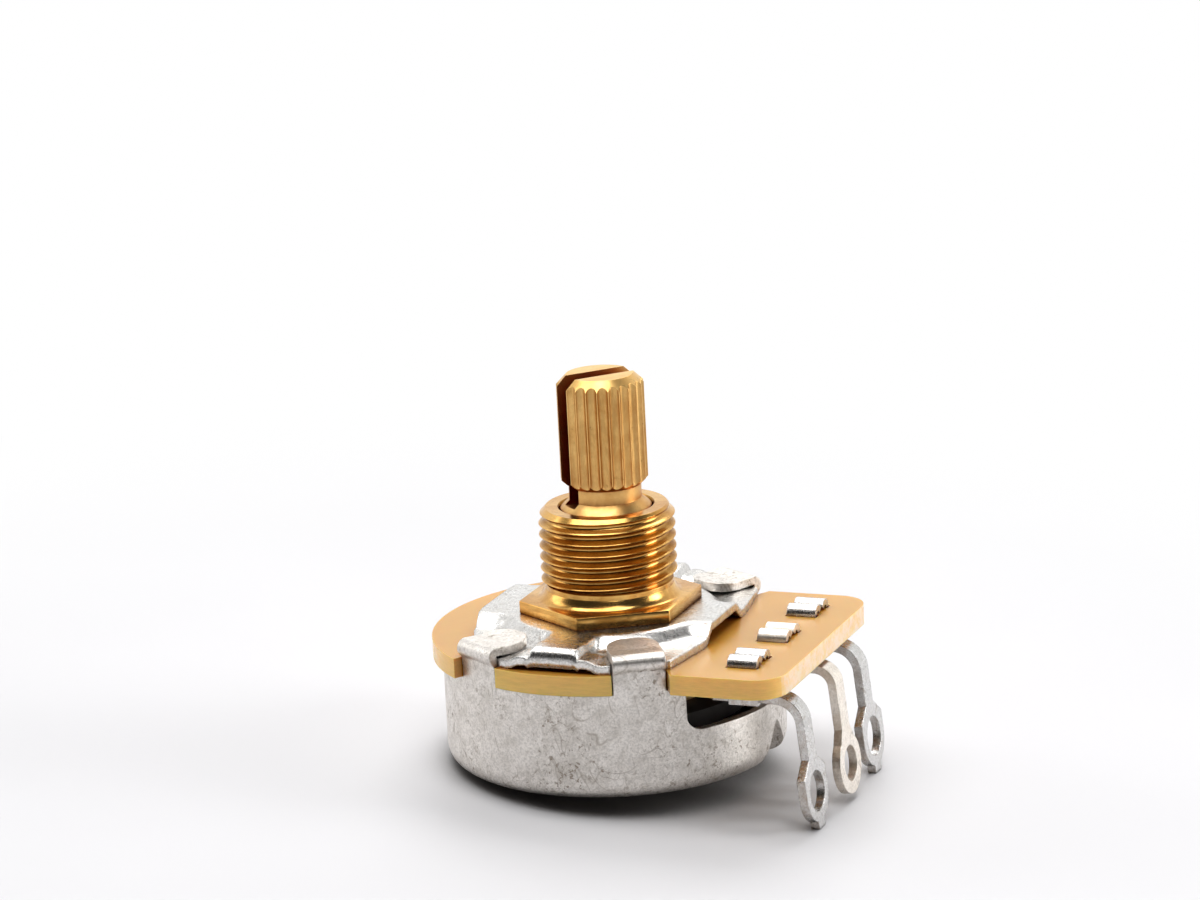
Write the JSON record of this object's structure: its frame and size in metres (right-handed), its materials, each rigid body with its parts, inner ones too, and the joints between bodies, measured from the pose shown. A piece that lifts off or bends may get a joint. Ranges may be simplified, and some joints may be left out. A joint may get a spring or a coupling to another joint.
{
  "type": "rotary potentiometer",
  "caption": "Panel potentiometer with a split knurled brass shaft, threaded bushing with hexagonal flange, tinned can with folded tabs and bent solder lugs.",
  "frame": {"origin": "centre of the can's rear face, on the shaft's axis", "axes": "+Z along the shaft towards its tip, +X towards the solder lugs, +Y to the left of the lugs seen from the front"},
  "size_m": [0.0299, 0.0238, 0.0295],
  "materials": {
    "tinned_can": "dull tinned steel",
    "tinned_plate": "tinned steel",
    "brass": "turned, slightly tarnished",
    "phenolic": "amber laminate",
    "dark_phenolic": "dark laminate",
    "carbon": "carbon film",
    "silver": "silver film or plating",
    "lug_tin": "tinned",
    "lug_silver": "silver plated",
    "steel": "plain",
    "fibre": "matte",
    "moulding": "moulded",
    "bronze": "spring bronze"
  },
  "bodies": {
    "case": {"housing_can": "tinned_can", "mounting_plate": "tinned_plate", "threaded_bushing": "brass", "terminal_board": "phenolic", "element_horseshoe": "dark_phenolic", "carbon_track": "carbon", "start_silver_pad": "silver", "end_silver_pad": "silver", "collector_ring": "silver", "start_lug": "lug_tin", "centre_lug": "lug_silver", "end_lug": "lug_tin", "thrust_washer": "fibre"},
    "rotor": {"control_shaft": "brass", "retaining_ring": "steel", "spring_washer": "steel", "stop_plate": "steel", "rotor_disc": "moulding", "contact_spring": "bronze", "left_contact_rivet": "brass", "right_contact_rivet": "brass"}
  },
  "joints": [
    {"name": "shaft_turn", "type": "hinge", "parent": "case", "child": "rotor", "pos_m": [0, 0, 0.0113], "axis": [0, 0, 1], "range_deg": [-150, 150]}
  ]
}
